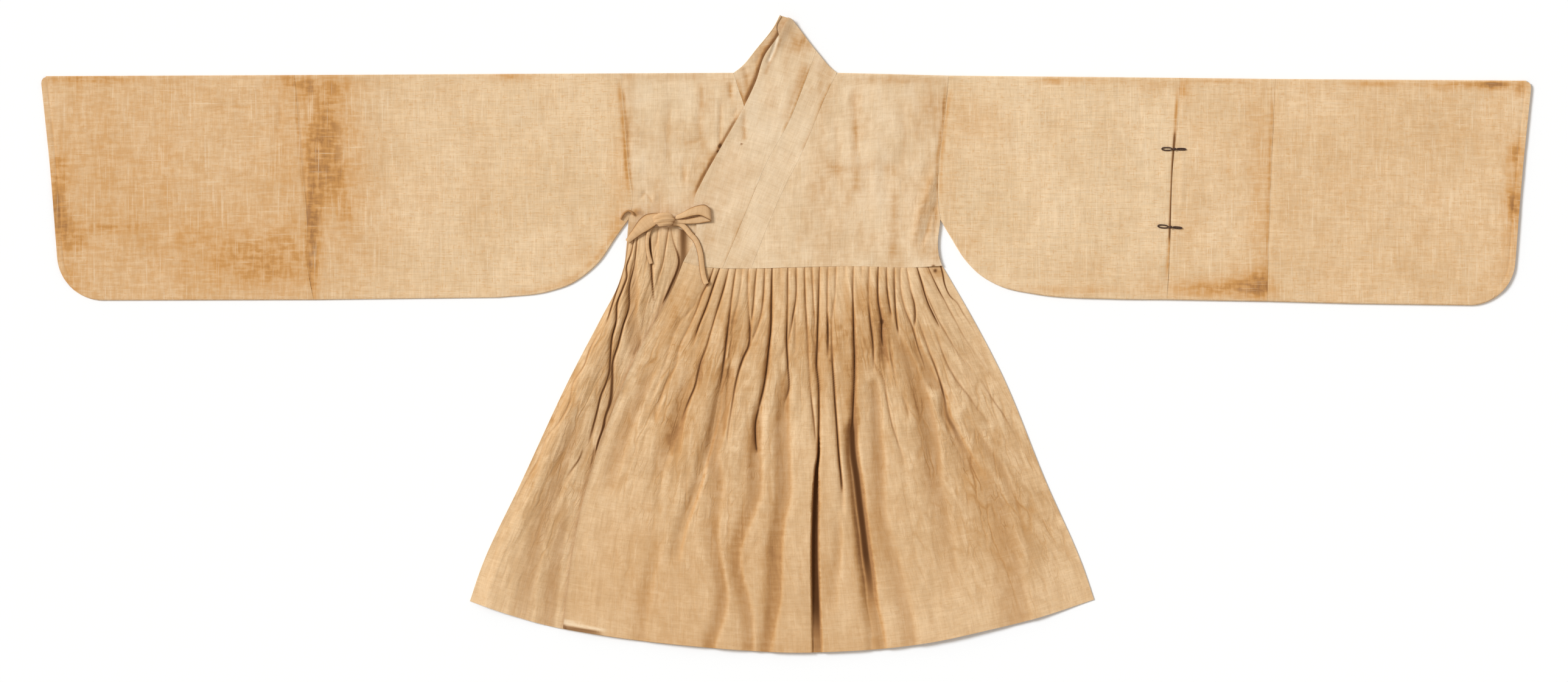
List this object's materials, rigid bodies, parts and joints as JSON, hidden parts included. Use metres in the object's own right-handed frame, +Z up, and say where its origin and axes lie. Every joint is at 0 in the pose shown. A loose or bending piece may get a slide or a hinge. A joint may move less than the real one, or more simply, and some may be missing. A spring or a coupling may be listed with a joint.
{
  "type": "korean pleated coat laid flat",
  "caption": "Undyed Korean pleated-skirt coat laid flat, with wide sleeves, a crossed front, a peaked collar, a tied bow at the side and corded toggles on one sleeve.",
  "frame": {"origin": "on the surface that the coat lies on, under the centre of its box", "axes": "+X along the sleeves towards the wearer's left cuff, +Y towards the collar's peak, +Z up out of the front"},
  "size_m": [2.6376, 1.1276, 0.0232],
  "materials": {
    "body_cloth": "plain woven ramie, undyed, matt",
    "sleeve_cloth": "plain woven ramie, undyed, aged and stained, matt",
    "skirt_cloth": "plain woven ramie, undyed, pleated, matt",
    "tie_cloth": "narrow sewn ribbon of the same cloth, matt",
    "toggle_cord": "dark brown braided cord"
  },
  "bodies": {
    "root": {"right_sleeve_outer": "sleeve_cloth", "right_sleeve_inner": "sleeve_cloth", "left_sleeve_inner": "sleeve_cloth", "left_sleeve_middle": "sleeve_cloth", "left_sleeve_outer": "sleeve_cloth", "right_body": "body_cloth", "left_body": "body_cloth", "back_collar": "body_cloth", "inner_collar": "body_cloth", "outer_collar": "body_cloth", "outer_collar_border": "body_cloth", "back_skirt": "skirt_cloth", "right_front_skirt": "skirt_cloth", "left_front_skirt": "skirt_cloth", "bow_knot": "tie_cloth", "bow_loop": "tie_cloth", "bow_band": "tie_cloth", "bow_tail": "tie_cloth", "bow_strand": "tie_cloth", "underarm_loop": "tie_cloth", "upper_toggle_loop": "toggle_cord", "upper_toggle_knot": "toggle_cord", "upper_toggle_stem": "toggle_cord", "lower_toggle_loop": "toggle_cord", "lower_toggle_knot": "toggle_cord", "lower_toggle_stem": "toggle_cord"}
  },
  "joints": []
}
